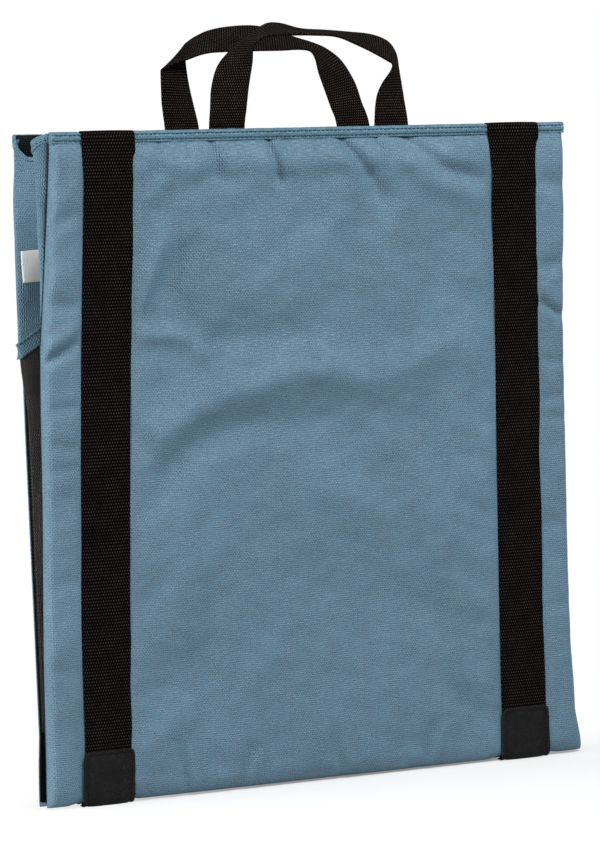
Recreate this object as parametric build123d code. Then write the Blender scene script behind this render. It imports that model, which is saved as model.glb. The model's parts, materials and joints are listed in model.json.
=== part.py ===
from build123d import *
import os
from math import cos, radians, sin

# A flat-folding padded tote that stands closed on its bottom edge, in millimetres.
# +X runs along the panels, the front panel faces -Y, +Z is up and z = 0 is the floor.
# A panel is drawn in its own frame: x along it, z up it, y = 0 on its inner face and
# the padding on the -y side. The front panel then leans forward by panel_lean.

# Panels
panel_height = 445.0
panel_width_bottom = 391.0
panel_width_top = 371.0
panel_lean = 4.5
bottom_gap = 5.0
pad_thickness = 9.6
pad_edge_round = 4.0
cover_thickness = 0.9
lining_thickness = 0.8
board_thickness = 2.0
board_inset = 6.0

# Hem along the top of each panel
hem_height = 10.0
hem_thickness = 6.0
hem_fabric = 0.9
hem_round = 1.2

# Wide bands and their leather patches
band_width = 35.0
band_thickness = 1.3
band_inset_bottom = 41.0
band_inset_top = 41.0
patch_width = 36.0
patch_height = 36.0
patch_thickness = 1.3
patch_corner_round = 5.0
wrap_end = 1.0
sole_flat = 0.5

# Handles
handle_webbing = 25.0
handle_thickness = 1.6
handle_spacing = 126.0
handle_rise = 71.0
handle_corner = 44.0
handle_crown = 22.0
handle_tab_length = 24.0
handle_foot_gap = 0.5
handle_tab_gap = 0.2

# Side gussets: two leaves each side, folded inwards to a valley
seam_tape_width = 3.8
seam_tape_thickness = 1.5
gusset_fabric = 0.7
seam_clearance = 0.35
gusset_depth = 100.0
valley_gap = 5.2
valley_dip = 24.0
gusset_bottom = 48.0
yoke_height = 154.0
yoke_fabric = 0.8
yoke_hem_height = 8.0
yoke_hem_fabric = 0.6
yoke_bottom_rise = 16.0
yoke_curve_run = 12.0
yoke_curve_rise = 8.0
yoke_seam_inset = 0.5
top_corner_run = 12.0
top_corner_drop = 12.0
top_edge_clearance = 1.0
binding_height = 4.0
binding_fabric = 0.5

# Blank tag on the left rear yoke
tag_start = 5.0
tag_width = 21.0
tag_height = 19.0
tag_slant = 3.0
tag_drop = 90.0
tag_thickness = 0.4

# Base strip that joins the panels at the bottom
base_strip_height = 3.0
base_strip_clearance = 0.8
base_strip_inset = 6.0

# Worked out from the sizes above
lean_sin = sin(radians(panel_lean))
lean_cos = cos(radians(panel_lean))
pad_top = panel_height - hem_height
sole_depth = band_thickness + patch_thickness
base_rise = sole_depth * lean_cos + (pad_thickness - pad_edge_round) * lean_sin - sole_flat
handle_plane = hem_fabric + handle_thickness
handle_foot = panel_height + handle_foot_gap
leaf_axis_y = seam_tape_thickness + seam_clearance + gusset_fabric / 2
leaf_axis_inset = seam_tape_width / 2
yoke_face = gusset_fabric / 2 + yoke_fabric
panel_place = Location((0, -bottom_gap / 2, base_rise), (panel_lean, 0, 0))
section_plane = Plane(origin=(0, 0, 0), x_dir=(0, 1, 0), z_dir=(1, 0, 0))


def half_width(height):
    """Half the panel's width at a height above its bottom edge."""
    share = height / panel_height
    return (panel_width_bottom + (panel_width_top - panel_width_bottom) * share) / 2


def face_plane(depth):
    """A plane along the panel, with its normal out of the padded face, at a depth y."""
    return Plane(origin=(0, depth, 0), x_dir=(1, 0, 0), z_dir=(0, -1, 0))


def slab(points, depth_from, depth_to):
    """A flat piece with the given x, z outline, between two depths y of the panel."""
    outline = make_face(Polyline(*points, close=True))
    return extrude(face_plane(depth_to) * outline, amount=depth_to - depth_from)


def panel_outline(inset, top):
    """The panel's x, z outline up to a height, drawn in from its sides and bottom."""
    low = half_width(inset) - inset
    high = half_width(top) - inset
    return [(-low, inset), (low, inset), (high, top), (-high, top)]


def placed(piece):
    """A front panel piece moved from the panel's frame to where it stands."""
    return panel_place * piece


def padded_block(inset, top, depth_from, depth_to, edge_round):
    """A slab of the panel's outline with its outer face's edges rounded."""
    block = slab(panel_outline(inset, top), depth_from, depth_to)
    outer_edges = block.faces().sort_by(Axis.Y)[0].edges()
    return fillet(outer_edges, edge_round)


def build_pad_filling():
    """The room inside the cover, from its fabric to the lining."""
    return padded_block(
        cover_thickness,
        pad_top - cover_thickness,
        cover_thickness - pad_thickness,
        -lining_thickness,
        pad_edge_round - cover_thickness,
    )


def build_cover():
    """The outer fabric, a tray around the padding with a flange up inside the hem."""
    outer = padded_block(0, pad_top, -pad_thickness, -lining_thickness, pad_edge_round)
    flange_points = [
        (-half_width(pad_top), pad_top),
        (half_width(pad_top), pad_top),
        (half_width(panel_height), panel_height - hem_fabric),
        (-half_width(panel_height), panel_height - hem_fabric),
    ]
    flange = slab(flange_points, hem_fabric - hem_thickness, -lining_thickness)
    return outer - build_pad_filling() + flange


def build_foam():
    """The foam pad, between the cover and the stiffener board."""
    board_face = -lining_thickness - board_thickness
    behind = slab(panel_outline(0, panel_height), board_face, 0)
    return build_pad_filling() - behind


def build_board():
    """The stiffener board behind the foam."""
    points = panel_outline(board_inset, pad_top - board_inset)
    return slab(points, -lining_thickness - board_thickness, -lining_thickness)


def build_lining():
    """The lining on the panel's inner face, up into the hem."""
    return slab(panel_outline(0, panel_height - hem_fabric), -lining_thickness, 0)


def hem_section():
    """The hem's outer section, with its top corners rounded."""
    low = Pos(0, pad_top) * Rectangle(
        hem_fabric + hem_thickness, hem_height, align=(Align.MIN, Align.MIN)
    )
    section = Pos(-hem_thickness, 0) * low
    top_corners = section.vertices().group_by(Axis.Y)[-1]
    return fillet(top_corners, hem_round)


def build_hem():
    """The folded strip that binds the top edge of cover and lining."""
    inside = Pos(hem_fabric - hem_thickness, pad_top) * Rectangle(
        hem_thickness - hem_fabric, hem_height - hem_fabric, align=(Align.MIN, Align.MIN)
    )
    channel = extrude(section_plane * (hem_section() - inside), amount=panel_width_bottom, both=True)
    trim = slab(panel_outline(0, panel_height), -pad_thickness, hem_fabric)
    return channel & trim


def panel_section():
    """The whole panel's section, which the bands lie on."""
    pad = Pos(-pad_thickness, 0) * Rectangle(pad_thickness, pad_top, align=(Align.MIN, Align.MIN))
    outer_corners = pad.vertices().group_by(Axis.X)[0]
    return fillet(outer_corners, pad_edge_round) + hem_section()


def wrap_layer(inner_offset, thickness, top):
    """A layer of even thickness around the panel's section, open on the inner face."""
    section = panel_section()
    inner = offset(section, amount=inner_offset) if inner_offset > 0 else section
    layer = offset(section, amount=inner_offset + thickness) - inner
    open_side = Pos(-wrap_end, pad_top) * Rectangle(
        pad_thickness, 2 * panel_height, align=(Align.MIN, Align.MAX)
    )
    above = Pos(0, top) * Rectangle(
        4 * pad_thickness, 2 * panel_height, align=(Align.CENTER, Align.MIN)
    )
    return extrude(section_plane * (layer - open_side - above), amount=panel_width_bottom, both=True)


def band_centre(height):
    """How far a band's centre line is from the panel's middle, at a height."""
    share = height / panel_height
    return half_width(height) - band_inset_bottom - (band_inset_top - band_inset_bottom) * share


def build_band():
    """The left band: under the bottom edge, up the face and over the hem."""
    reach = sole_depth + hem_height
    low = band_centre(-reach)
    high = band_centre(panel_height + reach)
    half = band_width / 2
    points = [
        (-low - half, -reach),
        (-low + half, -reach),
        (-high + half, panel_height + reach),
        (-high - half, panel_height + reach),
    ]
    strip = slab(points, -2 * pad_thickness, 2 * pad_thickness)
    return wrap_layer(0, band_thickness, panel_height + reach) & strip


def build_patch():
    """The left leather patch, over the foot of the band, with its sole cut level."""
    centre = band_centre(patch_height / 2)
    outline = Pos(-centre, 0) * Rectangle(patch_width, 2 * patch_height)
    outline = fillet(outline.vertices(), patch_corner_round)
    strip = extrude(face_plane(2 * pad_thickness) * outline, amount=4 * pad_thickness)
    return wrap_layer(band_thickness, patch_thickness, patch_height) & strip


def level_sole(patch):
    """The patch where it stands, cut off at the floor."""
    below = Box(
        2 * panel_width_bottom, panel_height, panel_height, align=(Align.CENTER, Align.CENTER, Align.MAX)
    )
    return placed(patch) - below


def build_seam_tape():
    """The tape along the left inner edge, which the gusset is sewn to."""
    top = panel_height - hem_height - hem_fabric
    points = [
        (-half_width(gusset_bottom), gusset_bottom),
        (-half_width(gusset_bottom) + seam_tape_width, gusset_bottom),
        (-half_width(top) + seam_tape_width, top),
        (-half_width(top), top),
    ]
    return slab(points, 0, seam_tape_thickness)


def build_handle_tabs():
    """The two sewn ends of the handle webbing, flat inside the hem."""
    tab = Pos(0, panel_height - handle_tab_gap) * Rectangle(
        handle_webbing, handle_tab_length, align=(Align.CENTER, Align.MAX)
    )
    pair = [Pos(side * handle_spacing / 2, 0) * tab for side in (-1, 1)]
    return extrude(face_plane(handle_plane) * Sketch(children=pair), amount=handle_thickness)


def build_handle():
    """The webbing loop above the hem, standing in the panel's plane."""
    outer_width = handle_spacing + handle_webbing
    inner_width = handle_spacing - handle_webbing
    outer = Rectangle(outer_width, 2 * handle_rise)
    outer = fillet(outer.vertices(), handle_corner)
    inner = Rectangle(inner_width, 2 * (handle_rise - handle_crown))
    inner = fillet(inner.vertices(), handle_corner - handle_crown)
    lower_half = Rectangle(2 * outer_width, 2 * handle_rise, align=(Align.CENTER, Align.MAX))
    loop = Pos(0, handle_foot) * (outer - inner - lower_half)
    return extrude(face_plane(handle_plane) * loop, amount=handle_thickness)


def build_base_strip():
    """The fabric that crosses from panel to panel at the bottom, inside."""
    return Pos(0, -base_strip_clearance / 2, base_rise) * Box(
        panel_width_bottom - 2 * base_strip_inset,
        bottom_gap - base_strip_clearance,
        base_strip_height,
        align=(Align.CENTER, Align.CENTER, Align.MIN),
    )


def panel_point(x, y, z):
    """A point of the front panel's frame, where the panel stands."""
    return Vector(x, y * lean_cos - z * lean_sin - bottom_gap / 2, y * lean_sin + z * lean_cos + base_rise)


class Leaf:
    """The front left gusset leaf's plane: s runs in from its sewn edge, t up along it."""

    def __init__(self):
        self.foot = panel_point(leaf_axis_inset - half_width(0), leaf_axis_y, 0)
        head = panel_point(leaf_axis_inset - half_width(panel_height), leaf_axis_y, panel_height)
        self.up = (head - self.foot).normalized()
        valley_top = Vector(head.X + gusset_depth, -valley_gap / 2, panel_height - valley_dip)
        across = valley_top - self.foot
        self.inwards = (across - self.up * across.dot(self.up)).normalized()
        self.normal = self.inwards.cross(self.up)
        self.valley_low = self.valley_point(gusset_bottom)
        self.valley_high = self.valley_point(panel_height - valley_dip)

    def valley_point(self, height):
        """Where the leaf meets its side of the valley, at a height, as s and t."""
        depth = -valley_gap / 2 - self.foot.Y
        lift = height - self.foot.Z
        run = -(self.normal.Y * depth + self.normal.Z * lift) / self.normal.X
        offset_from_foot = Vector(run, depth, lift)
        return offset_from_foot.dot(self.inwards), offset_from_foot.dot(self.up)

    def valley(self, t):
        """The valley's point at a distance t up the leaf."""
        (s_low, t_low), (s_high, t_high) = self.valley_low, self.valley_high
        return s_low + (s_high - s_low) * (t - t_low) / (t_high - t_low), t

    def sheet(self, points, face_from, face_to):
        """A flat piece of the leaf between two distances outwards from its middle."""
        outline = make_face(Polyline(*points, close=True))
        plane = Plane(
            origin=self.foot - self.normal * face_from, x_dir=self.inwards, z_dir=self.normal
        )
        return extrude(plane * outline, amount=face_from - face_to)

    def top_edge(self, drop):
        """The leaf's top edge from its valley to its sewn edge, lowered by a drop."""
        return [
            self.valley(panel_height - valley_dip - drop),
            (top_corner_run, panel_height - top_corner_drop - drop),
            (0, panel_height - top_edge_clearance - drop),
        ]

    def yoke_edge(self, lift):
        """The yoke's lower edge from its sewn edge to its valley, raised by a lift."""
        low = panel_height - yoke_height + lift
        return [
            (yoke_seam_inset, low),
            (yoke_curve_run, low + yoke_curve_rise),
            self.valley(low + yoke_bottom_rise),
        ]

    def gusset(self):
        """The soft black leaf, over the full height of the side."""
        points = [(0, gusset_bottom), self.valley(gusset_bottom)] + self.top_edge(0)
        return self.sheet(points, -gusset_fabric / 2, gusset_fabric / 2)

    def yoke(self):
        """The facing over the top third of the leaf, on the valley side."""
        points = self.yoke_edge(0) + self.top_edge(0)[:2] + [
            (yoke_seam_inset, panel_height - top_edge_clearance)
        ]
        return self.sheet(points, gusset_fabric / 2, yoke_face)

    def yoke_hem(self):
        """The turned hem along the yoke's lower edge."""
        points = self.yoke_edge(0) + self.yoke_edge(yoke_hem_height)[::-1]
        return self.sheet(points, yoke_face, yoke_face + yoke_hem_fabric)

    def binding(self):
        """The piping folded over the leaf's top edge."""
        points = self.top_edge(-binding_fabric) + self.top_edge(binding_height)[::-1]
        folded = self.sheet(points, -gusset_fabric / 2 - binding_fabric, yoke_face + binding_fabric)
        return folded - self.gusset() - self.yoke()

    def tag(self):
        """The blank tag on the yoke."""
        tag_bottom = panel_height - tag_drop
        points = [
            (tag_start, tag_bottom),
            (tag_start + tag_width, tag_bottom + tag_slant),
            (tag_start + tag_width - tag_slant, tag_bottom + tag_height + tag_slant),
            (tag_start - tag_slant, tag_bottom + tag_height),
        ]
        return self.sheet(points, yoke_face, yoke_face + tag_thickness)


def panel_nodes():
    """The front panel's pieces, by name without the panel's own name."""
    left_band = placed(build_band())
    left_patch = level_sole(build_patch())
    left_tape = placed(build_seam_tape())
    return {
        "cover": placed(build_cover()),
        "foam": placed(build_foam()),
        "board": placed(build_board()),
        "lining": placed(build_lining()),
        "hem": placed(build_hem()),
        "handle_tabs": placed(build_handle_tabs()),
        "handle": placed(build_handle()),
        "band_left": left_band,
        "band_right": left_band.mirror(Plane.YZ),
        "patch_left": left_patch,
        "patch_right": left_patch.mirror(Plane.YZ),
        "seam_tape_left": left_tape,
        "seam_tape_right": left_tape.mirror(Plane.YZ),
    }


def leaf_nodes(leaf):
    """The front left leaf's pieces."""
    return {
        "gusset": leaf.gusset(),
        "yoke": leaf.yoke(),
        "yoke_hem": leaf.yoke_hem(),
        "binding": leaf.binding(),
    }


def all_nodes():
    """Every node by name. The rear is the front mirrored, and the right is the left mirrored."""
    nodes = {}
    for name, piece in panel_nodes().items():
        nodes["front_" + name] = piece
        nodes["rear_" + name] = piece.mirror(Plane.XZ)
    leaf = Leaf()
    for name, piece in leaf_nodes(leaf).items():
        nodes["left_front_" + name] = piece
        nodes["left_rear_" + name] = piece.mirror(Plane.XZ)
        nodes["right_front_" + name] = piece.mirror(Plane.YZ)
        nodes["right_rear_" + name] = piece.mirror(Plane.XZ).mirror(Plane.YZ)
    nodes["side_tag"] = leaf.tag().mirror(Plane.XZ)
    nodes["base_strip"] = build_base_strip()
    return nodes


def main():
    """Write one STEP file for each node."""
    os.makedirs("parts", exist_ok=True)
    for name, piece in all_nodes().items():
        export_step(piece, "parts/" + name + ".step")


if __name__ == "__main__":
    main()
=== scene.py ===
import json
from math import atan2, cos, hypot, pi, radians, sin

import bpy
import numpy as np
from mathutils import Matrix, Vector


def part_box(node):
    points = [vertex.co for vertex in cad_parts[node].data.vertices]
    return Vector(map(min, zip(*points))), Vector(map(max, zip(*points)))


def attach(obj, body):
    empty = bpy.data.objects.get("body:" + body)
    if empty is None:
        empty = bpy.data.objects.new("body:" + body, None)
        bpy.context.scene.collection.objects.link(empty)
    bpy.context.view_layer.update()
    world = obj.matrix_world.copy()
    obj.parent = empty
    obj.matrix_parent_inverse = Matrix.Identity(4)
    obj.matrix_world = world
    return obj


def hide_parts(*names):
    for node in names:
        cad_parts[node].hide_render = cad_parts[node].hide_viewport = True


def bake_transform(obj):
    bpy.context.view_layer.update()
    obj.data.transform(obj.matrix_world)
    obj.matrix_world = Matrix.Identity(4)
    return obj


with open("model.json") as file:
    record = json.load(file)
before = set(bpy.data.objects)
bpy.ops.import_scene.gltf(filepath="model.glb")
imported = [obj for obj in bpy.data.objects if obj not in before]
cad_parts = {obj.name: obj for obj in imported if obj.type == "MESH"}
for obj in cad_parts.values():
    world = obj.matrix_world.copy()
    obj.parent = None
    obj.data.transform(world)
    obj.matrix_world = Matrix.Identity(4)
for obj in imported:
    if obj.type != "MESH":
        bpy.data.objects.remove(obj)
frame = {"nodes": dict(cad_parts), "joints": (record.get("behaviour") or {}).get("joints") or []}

# A flat-folding padded tote. The panels are worked out in millimetres in a panel's own
# frame: x along the panel, depth outwards from its inner face, z up it. place() moves
# such points into the frame, for the front panel or for its mirror image at the rear.

MM = 0.001
FACES = ("front", "rear")
SIDES = {"left": -1, "right": 1}
ALONG_X = np.array([[1.0, 0.0, 0.0]])
OUTWARDS = np.array([[0.0, 1.0, 0.0]])
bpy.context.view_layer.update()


# ---------------------------------------------------------------- sizes from the frame

joints = {joint["name"]: joint for joint in frame["joints"]}
leaf_up = Vector(joints["left_front_leaf_fold"]["axis"])
LEAN = atan2(-leaf_up.y, leaf_up.z)
EDGE_SLOPE = leaf_up.x / hypot(leaf_up.y, leaf_up.z)
FOLD_Y, FOLD_Z = (value / MM for value in joints["panel_fold"]["pos_m"][1:])


def node_points(node):
    """A CAD node's vertices, in millimetres."""
    return np.array([v.co for v in frame["nodes"][node].data.vertices]) / MM


def panel_box(node):
    """Lowest and highest x, depth and z of a front panel node, in the panel's frame."""
    x, y, z = node_points(node).T
    out, up = -(y + FOLD_Y), z - FOLD_Z
    local = np.array([x, out * cos(LEAN) - up * sin(LEAN), out * sin(LEAN) + up * cos(LEAN)])
    return local.min(1), local.max(1)


def place(points, face):
    """Points (x, depth, z) of a panel in millimetres, as places in the frame in metres."""
    x, depth, z = np.moveaxis(np.asarray(points, float), -1, 0)
    y = -depth * cos(LEAN) - z * sin(LEAN) - FOLD_Y
    up = -depth * sin(LEAN) + z * cos(LEAN) + FOLD_Z
    return join(x, y if face == "front" else -y, up) * MM


cover_high = panel_box("front_cover")[1]
hem_high = panel_box("front_hem")[1]
band_low, band_high = panel_box("front_band_left")
patch_low, patch_high = panel_box("front_patch_left")
TAPE_TOP = panel_box("front_seam_tape_left")[1][2]
HALF_BOTTOM = cover_high[0]
PAD_DEPTH = cover_high[1]
HEM_DEPTH, HEIGHT = hem_high[1:]
BAND_THICKNESS = band_high[1] - PAD_DEPTH
BAND_WIDTH = band_high[0] - band_low[0] - EDGE_SLOPE * (band_high[2] - band_low[2])
PATCH_THICKNESS = patch_high[1] - band_high[1]
PATCH_WIDTH = patch_high[0] - patch_low[0]
PATCH_TOP = patch_high[2]
BAND_CENTRE = -(patch_low[0] + patch_high[0]) / 2 + EDGE_SLOPE * PATCH_TOP / 2
HANDLE_WIDTH = 25.0
HANDLE_THICKNESS = 1.7
STRAP_CROWN = 0.25
# Thicknesses of the sheets of cloth and board, in millimetres.
SHEET = {"board": 1.8, "lining": 0.5, "gusset": 0.6, "yoke": 0.7, "tag": 0.4, "base": 0.8, "foot": 0.6}


def half_width(z):
    """Half the panel's width at a height up the panel."""
    return HALF_BOTTOM - EDGE_SLOPE * z


def band_x(z):
    """How far a band's centre line is from the panel's middle."""
    return BAND_CENTRE - EDGE_SLOPE * z


# ---------------------------------------------------------------- smooth shapes

def smooth(value, low, high):
    """0 below low, 1 above high, and an even curve between."""
    t = np.clip((np.asarray(value, float) - low) / (high - low), 0, 1)
    return t * t * (3 - 2 * t)


def ripples(u, v, wavelength, seed, waves=22):
    """Even random relief of about one unit, made of waves of about that length."""
    draw = np.random.default_rng(seed)
    total = 0
    for _ in range(waves):
        heading = draw.uniform(0, 2 * pi)
        length = wavelength * draw.uniform(0.7, 1.5)
        phase = draw.uniform(0, 2 * pi)
        total = total + np.cos(2 * pi / length * (u * cos(heading) + v * sin(heading)) + phase)
    return total / np.sqrt(waves)


def stroke(x, z, x0, z0, x1, z1, width, height, end_width=None):
    """A soft ridge, or with a negative height a groove, along a line, fading at its ends."""
    length = hypot(x1 - x0, z1 - z0)
    along = ((x - x0) * (x1 - x0) + (z - z0) * (z1 - z0)) / length**2
    aside = ((x - x0) * (z1 - z0) - (z - z0) * (x1 - x0)) / length
    wide = width + ((end_width or width) - width) * np.clip(along, 0, 1)
    fade = np.exp(-np.abs((along - 0.5) / 0.56) ** 5)
    return height * fade * np.exp(-((aside / wide) ** 2))


def catmull(points, count):
    """A smooth line of count points through the given ones."""
    points = np.asarray(points, float)
    ends = np.vstack([2 * points[0] - points[1], points, 2 * points[-1] - points[-2]])
    where = np.linspace(0, len(points) - 1, count)
    k = np.minimum(where.astype(int), len(points) - 2)
    t = (where - k)[:, None]
    a, b, c, d = (ends[k + i] for i in range(4))
    square, cube = 2 * a - 5 * b + 4 * c - d, 3 * b - a - 3 * c + d
    return 0.5 * (2 * b + (c - a) * t + square * t**2 + cube * t**3)


def unit(vectors):
    """The vectors at length 1."""
    return vectors / np.linalg.norm(vectors, axis=-1, keepdims=True)


def join(*coordinates):
    """Points from their coordinates, each a number or an array."""
    return np.stack(np.broadcast_arrays(*coordinates), -1)


# ---------------------------------------------------------------- materials

class Graph:
    """The shader nodes of a material or a world, with short calls for them."""

    def __init__(self, owner):
        owner.use_nodes = True
        self.nodes, self.links = owner.node_tree.nodes, owner.node_tree.links

    def put(self, value, socket):
        """Sets a socket to a value, or links another socket to it."""
        if isinstance(value, (int, float, tuple)):
            socket.default_value = value
        else:
            self.links.new(value, socket)

    def node(self, kind, inputs=None, output=0, **settings):
        """An output of a new node, which has these settings and inputs, by name or number."""
        node = self.nodes.new("ShaderNode" + kind)
        for name, value in settings.items():
            setattr(node, name, value)
        for socket, value in (inputs or {}).items():
            self.put(value, node.inputs[socket])
        return node.outputs[output] if node.outputs else None

    def math(self, operation, a, b=0.0, clamp=False):
        """An operation on one or two values."""
        return self.node("Math", {0: a, 1: b}, operation=operation, use_clamp=clamp)

    def times(self, a, b):
        """The product of two values."""
        return self.math("MULTIPLY", a, b)

    def plus(self, a, b):
        """The sum of two values."""
        return self.math("ADD", a, b)

    def mix(self, share, low, high):
        """A colour between two others, by a share."""
        inputs = {"Factor": share, "A": (*low, 1.0), "B": (*high, 1.0)}
        return self.node("Mix", inputs, "Result", data_type="RGBA")

    def spread(self, value, low, high, to_low=0.0, to_high=1.0):
        """The value with one range stretched over another."""
        inputs = {"Value": value, "From Min": low, "From Max": high, "To Min": to_low, "To Max": to_high}
        return self.node("MapRange", inputs)


class Cloth(Graph):
    """A material on the main shader, whose pattern lies along the fabric, in metres."""

    def __init__(self, name, colour, roughness, specular=0.5):
        self.material = bpy.data.materials.new(name)
        super().__init__(self.material)
        self.shader = self.nodes["Principled BSDF"]
        self.shade("Base Color", (*colour, 1))
        self.shade("Roughness", roughness)
        self.shade("Specular IOR Level", specular)
        self.place = self.node("Attribute", output="Vector", attribute_name="cloth")
        self.across, self.along = self.node("SeparateXYZ", {0: self.place}, slice(2))

    def shade(self, name, value):
        """Sets an input of the main shader."""
        self.put(value, self.shader.inputs[name])

    def colour(self, share, low, high):
        """Colours the surface from one colour to another by a share."""
        self.shade("Base Color", self.mix(share, low, high))

    def wave(self, coordinate, pitch):
        """A cosine along a coordinate, with that pitch."""
        return self.math("COSINE", self.times(coordinate, 2 * pi / pitch))

    def noise(self, scale, detail=3.0, roughness=0.55, stretch=(1, 1, 1)):
        """Noise from 0 to 1 along the fabric; scale is features per metre."""
        place = self.node("Mapping", {"Vector": self.place, "Scale": stretch})
        inputs = {"Vector": place, "Scale": scale, "Detail": detail, "Roughness": roughness}
        return self.node("TexNoise", inputs)

    def relieve(self, height, distance):
        """Gives the surface that relief, which is distance high."""
        self.shade("Normal", self.node("Bump", {"Height": height, "Distance": distance}))


def scaled(colour, factor):
    """A colour made paler or darker."""
    return tuple(min(1.0, channel * factor) for channel in colour)


def woven_nylon(name, colour, pitch=0.0017, depth=0.00018, contrast=0.32, specular=0.5):
    """Plain woven nylon whose warp and weft stand out by turns, with slubs and soft wear."""
    g = Cloth(name, colour, 0.5, specular)
    weft_share = g.spread(g.noise(150, 2), 0.32, 0.68, 0.25, 1.0)
    warp_share = g.spread(g.noise(130, 2, 0.5, (1, 1.3, 1)), 0.32, 0.68, 0.25, 1.0)
    weft = g.times(g.wave(g.along, pitch), weft_share)
    warp = g.times(g.wave(g.across, pitch * 1.05), warp_share)
    crossing = g.times(g.wave(g.along, pitch * 1.9), g.wave(g.across, pitch * 1.25))
    crossing = g.times(crossing, g.spread(g.noise(60, 2), 0.35, 0.65, 0.4, 1.3))
    threads = g.plus(g.times(g.plus(weft, warp), 0.8), crossing)
    slubs = g.spread(g.noise(1000, 2, 0.5, (0.4, 1, 1)), 0.3, 0.7, -0.45, 0.45)
    ends = g.spread(g.noise(1000, 2, 0.5, (1, 0.4, 1)), 0.3, 0.7, -0.45, 0.45)
    relief = g.plus(threads, g.plus(slubs, ends))
    clouds = g.spread(g.noise(13, 4, 0.6), 0.3, 0.7, 0.32, 0.68)
    tone = g.math("ADD", g.times(relief, 0.2), clouds, clamp=True)
    g.colour(tone, scaled(colour, 1 - contrast), scaled(colour, 1 + contrast))
    g.shade("Roughness", g.spread(g.noise(260), 0.3, 0.7, 0.38, 0.5))
    g.relieve(relief, depth)
    return g.material


def webbing(name, colour, highlight, across=0.0018, along=0.0043, depth=0.0006):
    """Ribbed webbing: rows of raised threads, each row set off from the next."""
    g = Cloth(name, colour, 0.75, 0.04)
    rows = g.times(g.wave(g.along, along / 2), 0.5)
    dots = g.times(g.wave(g.across, across), g.wave(g.along, along))
    fuzz = g.spread(g.noise(1400), 0.3, 0.7, -0.35, 0.35)
    relief = g.plus(g.plus(rows, dots), fuzz)
    patchy = g.spread(g.noise(70), 0.3, 0.7, 0.45, 1.0)
    raised = g.times(g.spread(relief, 0.45, 1.4), patchy)
    g.colour(raised, colour, highlight)
    g.relieve(relief, depth)
    return g.material


def leather(name, colour):
    """Grained black leather whose pebbles are paler than the creases between them, in patches."""
    g = Cloth(name, colour, 0.5, 0.14)
    cells = g.node("TexVoronoi", {"Vector": g.place, "Scale": 700}, feature="DISTANCE_TO_EDGE")
    pebbles = g.spread(cells, 0.0, 0.35)
    relief = g.plus(pebbles, g.times(g.noise(2600, 2), 0.6))
    # The pebbles are paler than the creases between them, in patches.
    pale_pebbles = g.times(g.spread(g.noise(90, 4, 0.6), 0.4, 0.72), pebbles)
    g.colour(pale_pebbles, colour, scaled(colour, 3.4))
    g.shade("Roughness", g.spread(g.noise(300), 0.3, 0.7, 0.38, 0.6))
    g.relieve(relief, 0.0004)
    return g.material


def thread(name, colour):
    """Twisted sewing thread."""
    g = Cloth(name, colour, 0.6, 0.2)
    twist = g.wave(g.plus(g.along, g.across), 0.0007)
    g.colour(g.spread(twist, -1, 1), colour, scaled(colour, 1.6))
    g.relieve(twist, 0.0001)
    return g.material


def plain_board(name, colour):
    """Pale stiff board, faintly mottled, which is hidden inside a panel."""
    g = Cloth(name, colour, 0.9)
    mottle = g.node("TexNoise", {"Scale": 400})
    g.colour(mottle, colour, scaled(colour, 1.1))
    g.relieve(mottle, 0.0005)
    return g.material


BLUE = (0.118, 0.218, 0.300)
shell_fabric = woven_nylon("shell_nylon", BLUE, 0.0015, 0.00018, 0.26, 0.42)
hem_fabric = woven_nylon("hem_nylon", (0.112, 0.225, 0.300), 0.0014, 0.0002, 0.32, 0.3)
yoke_fabric = woven_nylon("yoke_nylon", (0.122, 0.225, 0.305), 0.0015, 0.0002, 0.28, 0.25)
lining_fabric = woven_nylon("lining_nylon", (0.0055, 0.0075, 0.0085), 0.0012, 0.00012, 0.4, 0.08)
gusset_fabric = woven_nylon("gusset_nylon", (0.030, 0.028, 0.026), 0.0012, 0.00012, 0.3, 0.2)
tag_fabric = woven_nylon("tag_weave", (0.82, 0.82, 0.80), 0.0007, 0.00008, 0.06)
band_webbing = webbing("band_webbing", (0.0022, 0.0016, 0.0014), (0.110, 0.080, 0.066))
handle_webbing = webbing("handle_webbing", (0.0040, 0.0028, 0.0024), (0.175, 0.130, 0.108), 0.0016, 0.0036)
patch_leather = leather("patch_leather", (0.0065, 0.0065, 0.0065))
# The blue thread is darker than the shell fabric: in part its own colour, in part painted shade of the
# needle holes round the stitches.
blue_thread = thread("blue_thread", (0.014, 0.045, 0.070))
black_thread = thread("black_thread", (0.006, 0.006, 0.006))
board_material = plain_board("board", (0.6, 0.6, 0.57))


# ---------------------------------------------------------------- mesh helpers

def add_object(name, data):
    """A new object in the scene."""
    obj = bpy.data.objects.new(name, data)
    bpy.context.scene.collection.objects.link(obj)
    return obj


def add_mesh(name, points, faces, material, cloth=None):
    """A new smooth mesh object from places in metres; cloth is each point's place on its fabric."""
    mesh = bpy.data.meshes.new(name)
    mesh.from_pydata(np.asarray(points, float).reshape(-1, 3).tolist(), [], faces)
    mesh.shade_smooth()
    if cloth is not None:
        attribute = mesh.attributes.new("cloth", "FLOAT_VECTOR", "POINT")
        attribute.data.foreach_set("vector", np.asarray(cloth, np.float32).reshape(-1, 3).ravel())
    mesh.materials.append(material)
    mesh.validate()
    return add_object(name, mesh)


def grid_faces(rows, columns, ring=False):
    """Quads of a grid of points; with ring, each row's last point joins its first."""
    index = np.arange(rows * columns).reshape(rows, columns)
    if ring:
        index = np.hstack([index, index[:, :1]])
    quads = join(index[:-1, :-1], index[:-1, 1:], index[1:, 1:], index[1:, :-1])
    return quads.reshape(-1, 4).tolist()


def add_sheet(name, points, material, cloth, kind):
    """A sheet over a grid of places in metres; cloth and the thickness are in millimetres."""
    obj = add_mesh(name, points, grid_faces(*points.shape[:2]), material, join(*cloth) * MM)
    solid = obj.modifiers.new("thickness", "SOLIDIFY")
    solid.thickness = SHEET[kind] * MM
    solid.offset = 0
    return obj


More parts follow.
